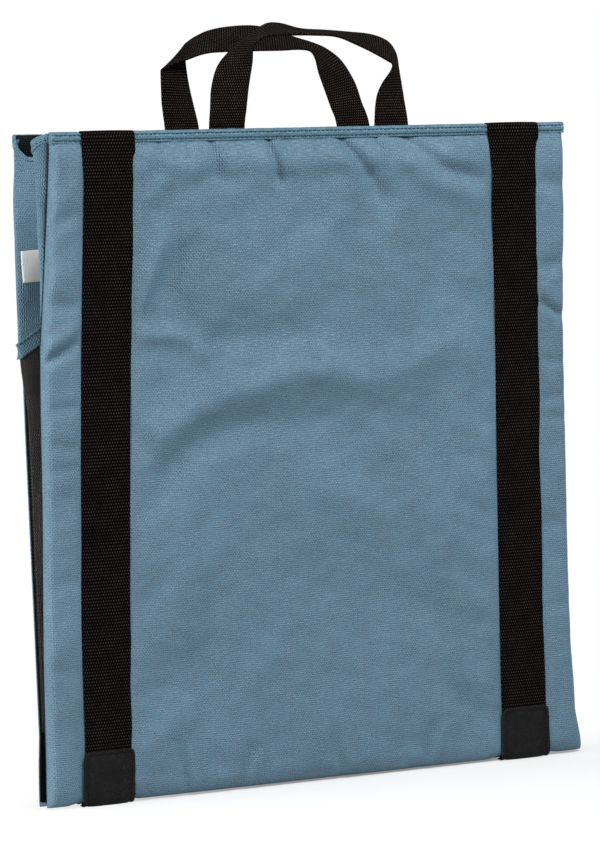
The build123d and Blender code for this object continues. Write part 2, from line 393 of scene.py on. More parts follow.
def tube_faces(count, size):
    """Faces of a closed tube of count rings of that size."""
    ends = [list(range(size))[::-1], list(range((count - 1) * size, count * size))]
    return grid_faces(count, size, ring=True) + ends


def turned_over(faces):
    """The faces with their outer side on the other side."""
    return [face[::-1] for face in faces]


def run_along(line):
    """The distance along a line at each of its points."""
    return np.concatenate([[0], np.cumsum(np.linalg.norm(np.diff(line, axis=0), axis=1))])


def strip_section(width, thickness, crown):
    """The outline of a strap's section as (across, out) pairs, with round edges."""
    half, radius = width / 2 - thickness / 2, thickness / 2
    across = np.linspace(-half, half, 9)
    lift = crown * (1 - (across / half) ** 2)
    turn = np.linspace(pi / 2, -pi / 2, 6)[1:-1]
    edge = join(half + radius * np.cos(turn), radius * np.sin(turn))
    top = join(across, radius + lift)
    bottom = join(across[::-1], -radius + lift[::-1])
    return np.vstack([top, edge, bottom, -edge])


def sweep(name, centres, across, out, section, material, convert):
    """A closed strap: a section swept along centres, and then converted into metres."""
    u, n = section.T
    points = centres[:, None] + across[:, None] * u[None, :, None] + out[:, None] * n[None, :, None]
    cloth = join(u, run_along(centres)[:, None], n) * MM
    faces = turned_over(tube_faces(len(centres), len(section)))
    return add_mesh(name, convert(points), faces, material, cloth)


# A stitch's rings, from end to end: the share of its length and the share of its radius.
STITCH_RINGS = ((-0.5, 0.35), (-0.3, 0.95), (0.3, 0.95), (0.5, 0.35))
STITCH_SIDES = 6


def stitch_row(line, out, pitch, length, radius):
    """Places of the stitches along a line, half sunk in the fabric, and their places on it."""
    run = run_along(line)

    def at(distance, values):
        return join(*(np.interp(distance, run, column) for column in values.T))

    middle = np.arange(pitch / 2, run[-1], pitch)
    normal = at(middle, out)
    direction = unit(at(middle + length / 2, line) - at(middle - length / 2, line))
    side = np.cross(direction, normal)
    turn = np.linspace(0, 2 * pi, STITCH_SIDES, endpoint=False)
    spokes = side[:, None] * np.cos(turn)[:, None] + normal[:, None] * np.sin(turn)[:, None]
    rings, cloth = [], []
    for offset, size in STITCH_RINGS:
        sunk = normal * radius * 0.9 * (abs(offset) > 0.4)
        centre = at(middle, line) + direction * offset * length - sunk
        rings.append(centre[:, None] + radius * size * spokes)
        cloth.append(join(radius * turn, (middle + offset * length)[:, None], 0))
    return np.stack(rings, 1).reshape(-1, 3), np.stack(cloth, 1).reshape(-1, 3)


def add_stitches(name, rows, material, pitch=3.0 * MM, length=2.2 * MM, radius=0.32 * MM):
    """One object of all the stitches along several lines, each given with its normals."""
    made = [stitch_row(line, out, pitch, length, radius) for line, out in rows]
    points, cloth = (np.vstack(parts) for parts in zip(*made))
    stitch = tube_faces(len(STITCH_RINGS), STITCH_SIDES)
    starts = range(0, len(points), len(STITCH_RINGS) * STITCH_SIDES)
    faces = [[start + i for i in face] for start in starts for face in stitch]
    return add_mesh(name, points, faces, material, cloth)


# ---------------------------------------------------------------- the padded panels

# How far each panel's two side edges stand outside its straight outline, at heights up it.
EDGE_SHIFT = {
    ("front", -1): ((0, -3.0), (30, -2.6), (100, -1.0), (205, -0.4), (262, 0.7), (304, 0.9), (350, -1.6),
                    (400, -3.9), (430, -5.0), (445, -5.2)),
    ("front", 1): ((0, 7.0), (8, 6.2), (29, 2.2), (50, 1.4), (75, -0.4), (133, -1.6), (300, -2.2),
                   (342, -1.2), (383, 0.0), (445, 0.3)),
    ("rear", -1): ((0, 0.2), (25, -0.6), (45, -1.8), (80, -1.8), (150, -1.6), (240, -1.4), (300, -1.4),
                   (445, -2.6)),
    ("rear", 1): ((0, 2.0), (60, -1.0), (200, -1.4), (445, -1.0)),
}
BOW = {"front": 4.0, "rear": 6.0}
TOP_RISE = {"front": 0.0, "rear": 3.0}


def at_height(table, z):
    """The value at a height z, from a table of heights and values."""
    return np.interp(z, *zip(*table))


def bend(points, face):
    """Bends a panel's straight points (x, depth, z) as the soft panel stands."""
    x, depth, z = np.moveaxis(np.asarray(points, float), -1, 0)
    share = np.clip(z / HEIGHT, 0, 1)
    side = np.clip(x / half_width(z), -1.05, 1.05)
    shift = np.where(side < 0, at_height(EDGE_SHIFT[face, -1], z), at_height(EDGE_SHIFT[face, 1], z))
    x = x + np.sign(side) * shift * smooth(np.abs(side), 0.84, 1.0)
    depth = depth + BOW[face] * np.cos(pi / 2 * np.clip(side, -1, 1)) * share**2
    return join(x, depth, z + TOP_RISE[face] * share**3)


def stand(points, face):
    """Straight points of a panel, bent and placed in the frame."""
    return place(bend(points, face), face)


def stitched(points, face, lift=1):
    """A line of stitches on a panel from its straight points, with its normals."""
    line = stand(points, face)
    return line, unit(stand(points + [0, lift, 0], face) - line)


def on_panel(obj, face, slot, *nodes):
    """The piece stands for those CAD nodes and rides on its panel."""
    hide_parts(*nodes)
    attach(obj, face + "_panel")


SEAT_DEPTH = PAD_DEPTH - 2.2
FOOT_SAG = 1.4
HEM_TUCK = 0.2
EDGE_ROUND = 5.0
LINING_DEPTH = 0.8
HEM_SHOWN = 7.2
HEM_FOOT = HEIGHT - HEM_SHOWN
# The spacing of the cover's grid, and of the coarser one its wrinkles are simulated on.
CELL = 2.1
WRINKLE_CELL = 2.8

# The folds and dents of the face: each line's start and end as x and z, its half width and its
# height, and for some its half width at the end.
FOLDS = (
    # The long ridge across the face, with the hollow under it and the one over it.
    (-118, 244, -78, 266, 12, 4.6), (-78, 266, -12, 283, 13, 5.4),
    (-12, 283, 36, 276, 13, 4.6), (36, 277, 120, 300, 16, 2.6),
    (-112, 222, -60, 247, 11, -2.6), (-60, 247, 12, 250, 11, -2.8),
    (-85, 334, -10, 328, 13, 1.6), (-72, 308, 0, 306, 9, -1.6),
    # Folds that run in from the left band.
    (-106, 380, -127, 328, 7, 4.4, 6), (-88, 372, -108, 336, 8, -2.2),
    (-128, 313, -95, 310, 6, 3.0), (-95, 310, -80, 295, 6, 2.8),
    # The swell of the padding under the hem.
    (-122, 422, 122, 420, 6.5, 1.5),
    # Broad dents of the lower half.
    (-128, 161, -72, 155, 10, 1.5), (-116, 84, -74, 78, 15, -1.6),
    (-30, 180, 95, 205, 20, 1.2), (0, 110, 110, 122, 22, -1.2),
    # Pleats that run out of the hem.
    (18, HEM_FOOT, 53, 394, 2.4, -4.8, 9), (11, HEM_FOOT, 27, 400, 3, 2.0, 8),
    (64, HEM_FOOT, 92, 417, 2.2, -3.2, 5), (92, 417, 121, 407, 5, -2.8, 6),
    (48, HEM_FOOT, 78, 408, 3, 2.4, 7), (78, 408, 119, 395, 7, 3.0),
    (-33, HEM_FOOT, -26, 410, 1.8, -4.2, 4), (-26, HEM_FOOT, -18, 416, 2, 1.6, 4),
    (-73, HEM_FOOT, -68, 410, 2, -3.4, 7), (-82, HEM_FOOT, -86, 412, 2, 1.8, 5),
    (44, HEM_FOOT, 48, 414, 1.6, -2.2, 4), (-108, HEM_FOOT, -112, 416, 2, -1.8, 5),
)
# Pleats along the bottom edge: each one's x, lean, reach and height.
FOOT_PLEATS = ((-96, -6, 34, 2.2), (-58, 8, 26, 1.7), (17, -8, 26, 1.4), (78, 7, 30, 1.7))
# Dents across the edge strips: each one's place up the left strip, drop, half width and height.
STRIP_DENTS = ((388, 6, 6, -2.4), (334, -4, 6, -2.6), (301, 15, 3.4, -4.4), (266, 3, 4, -1.5),
               (241, -3, 4, -1.3), (226, 2, 4, -1.2), (150, 4, 6, -1), (92, -3, 5, -1))
# Folds of the left edge strip, given as FOLDS are.
STRIP_FOLDS = ((-194, 303, -166, 320, 4.5, 2.6), (-190, 352, -168, 356, 9, 1.4))


def rounded(distance, reach):
    """The share of full depth at a distance in from a rounded edge."""
    t = np.clip(distance / reach, 0, 1)
    return np.sqrt(1 - (1 - t) ** 2)


def seat(z):
    """Depth of the fabric under the bands, which rolls in to the hem at the top."""
    under_hem = HEM_DEPTH - 0.3
    roll = 1 - np.clip((HEM_FOOT - z) / 13, 0, 1)
    full = under_hem + (SEAT_DEPTH - under_hem) * (1 - roll**2.2)
    return LINING_DEPTH + (full - LINING_DEPTH) * rounded(z, EDGE_ROUND)


def folds(x, z):
    """The folds and dents of the face, in millimetres of height."""
    lift = 0.0
    for fold in FOLDS:
        lift = lift + stroke(x, z, *fold)
    for foot, lean, reach, height in FOOT_PLEATS:
        lift += stroke(x, z, foot, 4, foot + lean, 4 + reach, 2.5, -height, 6)
        lift += stroke(x, z, foot + 7, 4, foot + 7 + lean, reach, 2.5, 0.6 * height, 5)
    for fold in STRIP_FOLDS:
        lift += stroke(x, z, *fold)
    for side in (-1, 1):
        for height, drop, width, low in STRIP_DENTS:
            middle = height + (0 if side < 0 else 14)
            lift += stroke(x, z, side * 192, middle - drop / 2, side * 167, middle + drop / 2, width, low)
    return lift


def surface(x, z, extra):
    """Depth of the panel's outer face, with extra folds in millimetres added in its sewn fields."""
    width, middle = half_width(z), band_x(z)
    away = np.abs(x)
    inner, outer = middle - BAND_WIDTH / 2 + 0.6, middle + BAND_WIDTH / 2 - 0.6
    strip = rounded(away - outer, 7) * rounded(width - away, 11) ** 0.7
    field = rounded(inner - away, 12) ** 0.9
    crown = np.cos(pi / 2 * np.clip(x / inner, -1, 1)) * np.sin(pi * np.clip(z / HEM_FOOT, 0, 1)) ** 0.6
    fade = smooth(z, -2, 12) * (1 - 0.95 * smooth(z, HEM_FOOT - 12, HEM_FOOT + 0.5))
    relief = (3.4 * strip + (3.0 + 1.8 * crown) * field) * fade
    relief -= HEM_TUCK * field * smooth(z, HEM_FOOT - 5, HEM_FOOT)
    relief += (folds(x, z) + extra) * np.minimum(fade + 0.55, 1) * np.maximum(field, strip)
    sides = rounded(width - away, EDGE_ROUND)
    return LINING_DEPTH + (seat(z) + relief - LINING_DEPTH) * sides


def grading(length, spacing, reach):
    """Places from 0 to length, close together within reach of both ends."""
    start = reach * EDGE_STEPS
    count = int(round((length - 2 * reach) / spacing))
    return np.concatenate([start, np.linspace(reach, length - reach, count), (length - start)[::-1]])


# Steps round a rounded edge, as shares of its reach.
EDGE_STEPS = 1 - np.cos(np.linspace(0, pi / 2, 7)[:-1])



def wrinkle_sheet(height, frames=20):
    """Height of a sheet with spare material, held where it is sewn, after a cloth simulation."""
    rows, columns = height.shape
    x = np.linspace(-1, 1, columns) * half_width(HEIGHT / 2)
    z = np.linspace(0, HEM_FOOT, rows)
    grid_x, grid_z = np.meshgrid(x, z)
    points = join(grid_x, grid_z, height) * MM
    sheet = add_mesh("wrinkle_sheet", points, grid_faces(rows, columns), shell_fabric)
    sewn = np.abs(np.abs(grid_x) - band_x(grid_z)) < BAND_WIDTH / 2
    sewn |= (np.abs(grid_x) > x[-1] - 4) | (grid_z < 4) | (grid_z > z[-1] - 2)
    group = sheet.vertex_groups.new(name="sewn")
    group.add(np.nonzero(sewn.ravel())[0].tolist(), 1.0, "REPLACE")
    cloth = sheet.modifiers.new("cloth", "CLOTH")
    settings = cloth.settings
    settings.vertex_group_mass = "sewn"
    settings.quality = 5
    settings.mass = 0.2
    settings.tension_stiffness = settings.compression_stiffness = 20
    settings.shear_stiffness = 8
    settings.bending_stiffness = 1.6
    settings.shrink_min = -0.011
    settings.effector_weights.gravity = 0
    cloth.collision_settings.use_collision = False
    cloth.point_cache.frame_end = frames
    for number in range(1, frames + 1):
        bpy.context.scene.frame_set(number)
    made = sheet.evaluated_get(bpy.context.evaluated_depsgraph_get()).data
    out = np.zeros(len(made.vertices) * 3, np.float32)
    made.vertices.foreach_get("co", out)
    bpy.context.scene.frame_set(1)
    bpy.data.objects.remove(sheet)
    return out.reshape(rows, columns, 3)[..., 2].astype(float) / MM


def blurred(values, passes, axes=(0, 1)):
    """The values of a grid or a line, evened out."""
    for _ in range(passes):
        for axis in axes:
            padded = np.concatenate([np.take(values, [0], axis), values, np.take(values, [-1], axis)], axis)
            size = values.shape[axis]
            before, here, after = (np.take(padded, range(k, k + size), axis) for k in range(3))
            values = (before + 2 * here + after) / 4
    return values


def sampled(grid, up, across):
    """A grid's values at other shares, 0 to 1, up and across it."""
    rows, columns = (np.linspace(0, 1, size) for size in grid.shape)
    grid = np.array([np.interp(up, rows, column) for column in grid.T]).T
    return np.array([np.interp(across, columns, row) for row in grid])


def make_wrinkles():
    """Small wrinkles of the fabric, from the cloth simulation, as a grid of millimetres."""
    half = half_width(HEIGHT / 2)
    rows, columns = int(HEM_FOOT / WRINKLE_CELL), int(2 * half / WRINKLE_CELL)
    x, z = np.meshgrid(np.linspace(-1, 1, columns) * half, np.linspace(0, HEM_FOOT, rows))
    start = folds(x, z) + 0.25 * ripples(x, z, 55, 5)
    moved = wrinkle_sheet(start) - start
    return blurred(np.clip(moved - blurred(moved, 70), -2.5, 2.5), 2) * 1.6


wrinkles = make_wrinkles()


def build_cover(face):
    """The padded shell of a panel as one closed form."""
    across = grading(2.0, CELL / HALF_BOTTOM, EDGE_ROUND / HALF_BOTTOM) - 1
    up = np.linspace(EDGE_ROUND, HEM_FOOT, int(HEM_FOOT / CELL))
    up = np.concatenate([EDGE_ROUND * EDGE_STEPS, up])
    rows, columns = len(up), len(across)
    q, z = np.meshgrid(across, up)
    x = q * half_width(z)
    mirror = 1 if face == "front" else -1
    creases = sampled(wrinkles, up / HEM_FOOT, (mirror * across + 1) / 2)
    depth = surface(mirror * x, z, 0.55 * creases + 0.16 * ripples(x, z, 16, 11))
    clear = smooth(np.abs(np.abs(x) - band_x(z)), BAND_WIDTH / 2, BAND_WIDTH / 2 + 9)
    outer = join(x, depth, z - FOOT_SAG * clear * np.exp(-z / 9))
    # The flat back has few columns, which meet the face's grid all round its rim.
    stations = np.unique(np.linspace(0, columns - 1, 11).astype(int))
    back = join(x, LINING_DEPTH, z)[1:-1, stations[1:-1]]
    points = np.vstack([outer.reshape(-1, 3), back.reshape(-1, 3)])
    faces = grid_faces(rows, columns)

    def back_index(row, station):
        if row in (0, rows - 1) or station in (0, len(stations) - 1):
            return row * columns + stations[station]
        return rows * columns + (row - 1) * (len(stations) - 2) + station - 1

    for row in range(rows - 1):
        for k in range(len(stations) - 1):
            loop = [back_index(row, k), back_index(row + 1, k)]
            if row + 1 == rows - 1:
                loop += [(rows - 1) * columns + c for c in range(stations[k] + 1, stations[k + 1])]
            loop += [back_index(row + 1, k + 1), back_index(row, k + 1)]
            if row == 0:
                loop += range(stations[k + 1] - 1, stations[k], -1)
            faces.append([int(i) for i in loop])
    if face == "rear":
        faces = turned_over(faces)
    cloth = points[:, [0, 2, 1]] * MM
    obj = add_mesh(face + "_padded_cover", stand(points, face), faces, shell_fabric, cloth)
    on_panel(obj, face, "shell_fabric", face + "_cover", face + "_foam")


HEM_SECTION = (  # depth, and height from the panel's top, round the folded strip
    (4.2, -6.9), (5.5, -7.3), (6.2, -7.0), (6.2, -6.5), (5.7, -5.9), (6.3, -5.1), (6.5, -4.1), (6.3, -3.1),
    (5.75, -2.3), (6.1, -1.6), (5.7, -0.6), (4.5, 0.0), (2.6, 0.1), (0.8, 0.0), (-0.4, -0.5), (-0.9, -1.4),
    (-0.7, -2.3), (-1.0, -4.1), (-0.7, -5.9), (-0.9, -6.8), (-0.3, -7.3), (1.0, -6.9),
)
# Rows of stitches along the hem: each one's height from the top, its depth and its side.
STITCH_ROWS = ((-2.3, 5.9, 1), (-2.3, -0.85, -1), (-5.9, 5.85, 1), (-5.9, -0.85, -1))
BAND_PRESS = 1.3
HEM_MIDDLE = 2.6
HEM_SEED = {"front": 21, "rear": 31}


def pressed(x):
    """How far the hem is pressed down where a band passes over it, in millimetres."""
    gap = np.abs(np.abs(x) - band_x(HEIGHT))
    return BAND_PRESS * (1 - smooth(gap, BAND_WIDTH / 2 - 1.5, BAND_WIDTH / 2 + 1.5))


def build_hem(face):
    """The folded strip along the top edge, pulled in along its two rows of stitches."""
    section = catmull(HEM_SECTION + HEM_SECTION[:1], 3 * len(HEM_SECTION))[:-1]
    section_depth, section_z = section.T
    share, z = np.meshgrid(np.linspace(-1, 1, 240), HEIGHT + section_z, indexing="ij")
    x = share * half_width(z)
    start, seed = x[:, :1], HEM_SEED[face]
    swell = 0.22 * ripples(start, 0 * start, 16, seed) + 0.16 * ripples(start, 0 * start, 5, seed + 1)
    squeeze = 1 + 0.06 * swell - 0.1 * pressed(x)
    depth = HEM_MIDDLE + (section_depth - HEM_MIDDLE) * squeeze
    z = z - pressed(x) * np.clip(1 + section_z / HEM_SHOWN, 0, 1) + 0.25 * swell * (section_z > -2)
    faces = tube_faces(*x.shape)
    if face == "front":
        faces = turned_over(faces)
    points = stand(join(x, depth, z), face)
    obj = add_mesh(face + "_hem_binding", points, faces, hem_fabric, join(x, z + depth, 0) * MM)
    on_panel(obj, face, "binding_fabric", face + "_hem")
    x = np.linspace(-1, 1, 260) * (half_width(HEIGHT) - 2)
    wander = 0.14 * ripples(x, 0 * x, 24, 41)
    rows = []
    for drop, depth, lift in STITCH_ROWS:
        rows.append(stitched(join(x, depth, HEIGHT + drop + wander), face, lift))
    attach(add_stitches(face + "_hem_stitches", rows, blue_thread), face + "_panel")


def wrap_line(offset, top):
    """Depth and z of a line that follows a band's seat down and then under the panel's foot."""
    radius = EDGE_ROUND - 1
    heights = np.linspace(top, radius, max(4, int((top - radius) / 3)))
    down = join(seat(heights + 1) + offset, heights)
    turn = np.linspace(0, pi / 2, 7)[1:]
    centre, swing = SEAT_DEPTH - radius, radius + offset
    corner = join(centre + swing * np.cos(turn), radius - swing * np.sin(turn))
    sole = join(np.linspace(centre - 1, 1.0, 3), -offset)
    return np.vstack([down, corner, sole])


def line_normal(line):
    """Directions square to a line of (depth, z) points, away from the panel."""
    tangent = unit(np.gradient(line, axis=0))
    return join(-tangent[:, 1], tangent[:, 0])


# How far each band's centre wanders along x, at heights up the panel.
BAND_DRIFT = {
    -1: ((0, 2.2), (22, 3.2), (42, 3.2), (62, 2.5), (82, 1.8), (102, 1.2), (122, 0.4), (200, 0.3),
         (262, 0.1), (362, 1.2), (400, 1.8), (420, 2.2), (445, 1.4)),
    1: ((0, 1.2), (72, 0.7), (177, 0.7), (241, 1.0), (283, 1.6), (346, 1.6), (389, 0.8), (410, 1.6),
        (445, 1.8)),
}
# A band is a little narrower where it is stretched, and wider where it is folded over the hem.
BAND_STRETCH = 0.965
BAND_SPREAD = {-1: 0.07, 1: 0.14}


def build_band(face, side):
    """A band from inside the hem, over it, down the face and under the foot."""
    sign = SIDES[side]
    half = BAND_THICKNESS / 2
    top = HEIGHT - BAND_PRESS
    over = [(-1.0 - half, top - 7.5), (-1.1 - half, top - 4), (-0.9 - half, top - 1.2),
            (0.4, top + 0.2 + half), (2.6, top + 0.35 + half), (4.8, top + 0.1 + half),
            (6.0 + half, top - 1.5), (6.3 + half, top - 4), (6.3 + half, HEM_FOOT - 0.5),
            (6.2 + half, HEM_FOOT - 4)]
    line = np.vstack([catmull(over, 40), wrap_line(half + 0.1, HEM_FOOT - 9)])
    line = catmull(line, 3 * len(line))[::2]

    def middle(z):
        return sign * band_x(z) + at_height(BAND_DRIFT[sign], z)

    def settle(points):
        x, depth, z = np.moveaxis(points, -1, 0)
        wide = BAND_STRETCH + BAND_SPREAD[sign] * smooth(z, HEIGHT - 34, HEIGHT - 12)
        x = middle(z) + (x - middle(z)) * wide
        wave = 0.3 * smooth(z, 20, 60) * (1 - smooth(z, HEM_FOOT - 40, HEM_FOOT))
        return stand(join(x, depth + wave * ripples(x, z, 60, 61 + sign), z), face)

    centres = join(middle(line[:, 1]), *line.T)
    out = np.insert(line_normal(line), 0, 0.0, axis=1)
    section = strip_section(BAND_WIDTH, BAND_THICKNESS, STRAP_CROWN)
    obj = sweep(f"{face}_{side}_band_webbing", centres, ALONG_X, out, section, band_webbing, settle)
    if face == "rear":
        obj.data.flip_normals()
    rest_on_floor(obj)
    on_panel(obj, face, "band_webbing", f"{face}_band_{side}")


def rest_on_floor(obj):
    """Nothing of a piece lies below the floor."""
    for vertex in obj.data.vertices:
        vertex.co.z = max(vertex.co.z, 0.0)


PATCH_CORNER = 5.0
SEAM_INSET = 3.2


def build_patch(face, side):
    """A leather patch over the foot of a band, with its stitches."""
    drift, centre_x = BAND_DRIFT[SIDES[side]], SIDES[side] * band_x(PATCH_TOP / 2)
    half, half_patch = PATCH_THICKNESS / 2, PATCH_WIDTH / 2
    line = catmull(wrap_line(BAND_THICKNESS + half + 0.2, PATCH_TOP), 70)
    out = line_normal(line)
    run = run_along(line)[:, None]
    # The sides are cut back round the upper corners. rim is how far in from its edge a point is.
    cut = PATCH_CORNER - np.sqrt(PATCH_CORNER**2 - np.clip(PATCH_CORNER - run, 0, None) ** 2)
    x = np.linspace(-1, 1, 41) * (half_patch - cut)
    rim = np.minimum(half_patch - cut - np.abs(x), run)
    seam = -0.7 * np.exp(-(((rim - SEAM_INSET) / 0.8) ** 2)) + 0.6 * smooth(rim, SEAM_INSET, 10)
    x = x + centre_x + at_height(drift, line[:, 1])[:, None]
    layers = []
    for height in (half * (2 * rounded(rim, 1.0) - 1) + seam, -half * rounded(rim, 0.4)):
        lift = np.where(rim < 0.01, 0.0, height)[..., None]
        layers.append(np.concatenate([x[..., None], line[:, None] + out[:, None] * lift], -1))
    rows, columns = x.shape
    count = rows * columns
    faces = grid_faces(rows, columns)
    faces += [[i + count for i in quad[::-1]] for quad in faces]
    index = np.arange(count).reshape(rows, columns)
    rim = np.concatenate([index[0], index[1:, -1], index[-1, -2::-1], index[-2:0:-1, 0]])
    after = np.roll(rim, -1)
    faces += np.stack([after, rim, rim + count, after + count], -1).tolist()
    if face == "front":
        faces = turned_over(faces)
    cloth = join(x, run, 0) * MM
    points = stand(np.array(layers), face)
    obj = add_mesh(f"{face}_{side}_leather_patch", points, faces, patch_leather, [cloth, cloth])
    rest_on_floor(obj)
    on_panel(obj, face, "patch_leather", f"{face}_patch_{side}")
    # The seam runs up one side, across the top and down the other.
    high, wide, radius = PATCH_TOP - SEAM_INSET, half_patch - SEAM_INSET, PATCH_CORNER - 1.4
    turn = np.linspace(0, pi / 2, 5)
    corner = [(wide - radius * (1 - cos(t)), high - radius * (1 - sin(t))) for t in turn]
    path = [(-wide, 2.0), *((-x, z) for x, z in corner), *corner[::-1], (wide, 2.0)]
    x, z = np.array(path).T
    depth = seat(z + 1) + BAND_THICKNESS + PATCH_THICKNESS - 0.5
    seam = stitched(join(centre_x + at_height(drift, z) + x, depth, z), face)
    stitches = add_stitches(f"{face}_{side}_patch_stitches", [seam], black_thread,
                            3.2 * MM, 2.3 * MM, 0.34 * MM)
    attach(stitches, face + "_panel")


BOARD_INSET = 6.0
LINING_INSET = 0.8
TAPE_WIDTH, TAPE_THICKNESS, TAPE_INSET, TAPE_DEPTH = 3.6, 1.6, 1.6, -0.75


def build_board(face):
    """The stiffener sheet inside the padding, bowed with its panel."""
    low, high = panel_box("front_board")
    q, z = np.meshgrid(np.linspace(-1, 1, 30), np.linspace(low[2], high[2], 30))
    x = q * (half_width(z) - BOARD_INSET)
    points = stand(join(x, low[1] + 1.4, z), face)
    obj = add_sheet(face + "_board_sheet", points, board_material, (x, z, 0), "board")
    on_panel(obj, face, "stiff_board", face + "_board")


def build_lining(face):
    """The thin lining on a panel's inner face, a little slack, and over the hem's inner side."""
    top = HEIGHT - LINING_INSET
    q, z = np.meshgrid(np.linspace(-1, 1, 90), np.linspace(1.5, top, 130))
    x = q * (half_width(z) - LINING_INSET)
    held = (1 - np.abs(q) ** 8) * smooth(z, 0, 30) * (1 - smooth(z, top - 30, top - 9))
    slack = 0.3 * ripples(x, z, 48, 71) * held
    over_hem = 1.55 * smooth(z, HEM_FOOT - 5, HEM_FOOT - 1) + 0.15 * smooth(z, top - 2, top)
    low = z - pressed(x) * smooth(z, HEM_FOOT, top)
    points = stand(join(x, 0.35 + slack - over_hem, low), face)
    obj = add_sheet(face + "_lining_cloth", points, lining_fabric, (x, z, 0), "lining")
    on_panel(obj, face, "lining_fabric", face + "_lining")


def build_seam_tape(face, side):
    """The rolled tape along a panel's inner edge that the gusset is sewn to."""
    z = np.linspace(2.0, TAPE_TOP, 120)
    centres = join(SIDES[side] * (half_width(z) - TAPE_INSET), TAPE_DEPTH, z)
    section = strip_section(TAPE_WIDTH, TAPE_THICKNESS, 0.1)
    obj = sweep(f"{face}_{side}_edge_tape", centres, ALONG_X, OUTWARDS, section, lining_fabric,
                lambda points: stand(points, face))
    on_panel(obj, face, "lining_fabric", f"{face}_seam_tape_{side}")


# ---------------------------------------------------------------- handles

# Each station of a handle is its outer and then its inner edge, as x, depth and z above the
# panel's top. The rear handle is folded over at its left corner, where its edges change sides.
HANDLE_LINES = {
    "front": (
        (-71.5, -1.9, -21, -46.7, -1.9, -21), (-71.5, -1.9, 0, -46.7, -1.9, 0),
        (-70.6, -1.8, 14, -46, 1, 14), (-69.2, -2.5, 28, -44.7, 2.5, 28),
        (-63.7, -4, 42.3, -42.5, 4, 43.3), (-50, -9, 54, -43.6, 10, 54),
        (-36.5, -11, 63, -36.5, 11.5, 59.4), (-27.5, -10, 68.4, -27.2, 11.5, 60.6),
        (-17.7, -10.5, 68.4, -17.9, 11.5, 60.8), (-2.8, -12, 64.8, -2.6, 12, 60.8),
        (14.5, -12, 63.7, 14.3, 12, 59.6), (31.5, -11, 62.5, 29.6, 11, 53.8),
        (47.2, -9.5, 60.8, 42, 9.5, 48.2), (59, -9, 56.3, 50.8, 9, 43.7),
        (65.4, -10, 48.5, 55.1, 10, 40.6), (67.2, -9, 38.1, 54.4, 8, 36), (68.4, -7, 27.8, 48.6, 6, 27.6),
        (69.3, -4.5, 17.5, 45.8, 2.5, 17.5), (71.1, -1.9, 0.4, 46.2, -1.9, 0.4),
        (71.3, -1.9, -21, 46.4, -1.9, -21),
    ),
    "rear": (
        (-75.8, -1.9, -21, -50.8, -1.9, -21), (-75.9, -1.9, 2, -51, -1.9, 2), (-76.6, -2, 13, -52, 0, 13),
        (-77.1, -2.5, 21, -52.6, 2.4, 21), (-77.3, -4.2, 31.4, -53.8, 4.2, 31.4),
        (-77.3, -5.4, 39.5, -54.6, 5.4, 41.9), (-77.2, -5.8, 41.6, -55, 5.4, 50),
        (-76.2, -6.3, 42.4, -55.2, 4.6, 57.6), (-73, -6.8, 43.6, -54.4, 4.4, 61.2),
        (-67.5, -6.8, 45.4, -51.6, 4.6, 63.6), (-58.6, -6.5, 48.4, -46.6, 5.6, 66.6),
        (-43.5, -6.4, 52.9, -36, 6, 71), (-25.9, -6, 54.1, -21.1, 6, 73.6),
        (-6.2, -6, 54.4, -2, 6.4, 74.2), (11.6, -6.5, 54.6, 16.3, 8, 70.3), (25, -8, 55, 30, 9.6, 65.8),
        (33, -8, 53.6, 41, 9.6, 62.4), (37, -6, 48.6, 51, 8.6, 58), (40, -3, 38.8, 61, 6, 49),
        (44, -1.6, 27.2, 68.6, 2.6, 33.5), (47.7, -1.2, 15.6, 72, 0, 18.3),
        (51, -1.9, 3.4, 75.5, -1.9, 4), (52.6, -1.9, -21, 77.2, -1.9, -21),
    ),
}


def build_handle(face):
    """The webbing handle, from the tabs inside the hem up into its loop."""
    stations = catmull(HANDLE_LINES[face], 300)
    outer, inner = stations[:, :3], stations[:, 3:]
    centres = (outer + inner) / 2 + [0, 0, HEIGHT]
    across = (inner - outer) / HANDLE_WIDTH
    tangent = blurred(unit(np.gradient(centres, axis=0)), 4, axes=(0,))
    out = unit(np.cross(across, tangent))
    section = strip_section(HANDLE_WIDTH, HANDLE_THICKNESS, STRAP_CROWN)
    obj = sweep(face + "_handle_webbing", centres, across, out, section, handle_webbing,
                lambda points: stand(points, face))
    if face == "rear":
        obj.data.flip_normals()
    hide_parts(face + "_handle", face + "_handle_tabs")
    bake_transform(obj)


# ---------------------------------------------------------------- side gussets

# A leaf's cloth rolls outwards beside its sewn edge: how far in the roll reaches, and its
# heading out along x and along y.
ROLL_REACH = 28.0
ROLL_HEADING = {"front": (0.93, 0.26), "rear": (1.0, -0.06)}
# The valley folds stand this far behind the leaves' straight planes.
VALLEY_EASE = 1.2
YOKE_LIFT = 0.8
YOKE_HEM_WIDTH = 10.0
YOKE_HEM_START = {"front": 4.5, "rear": 2.0}
TOP_HEM_WIDTH = {"front": 6.0, "rear": 3.4}


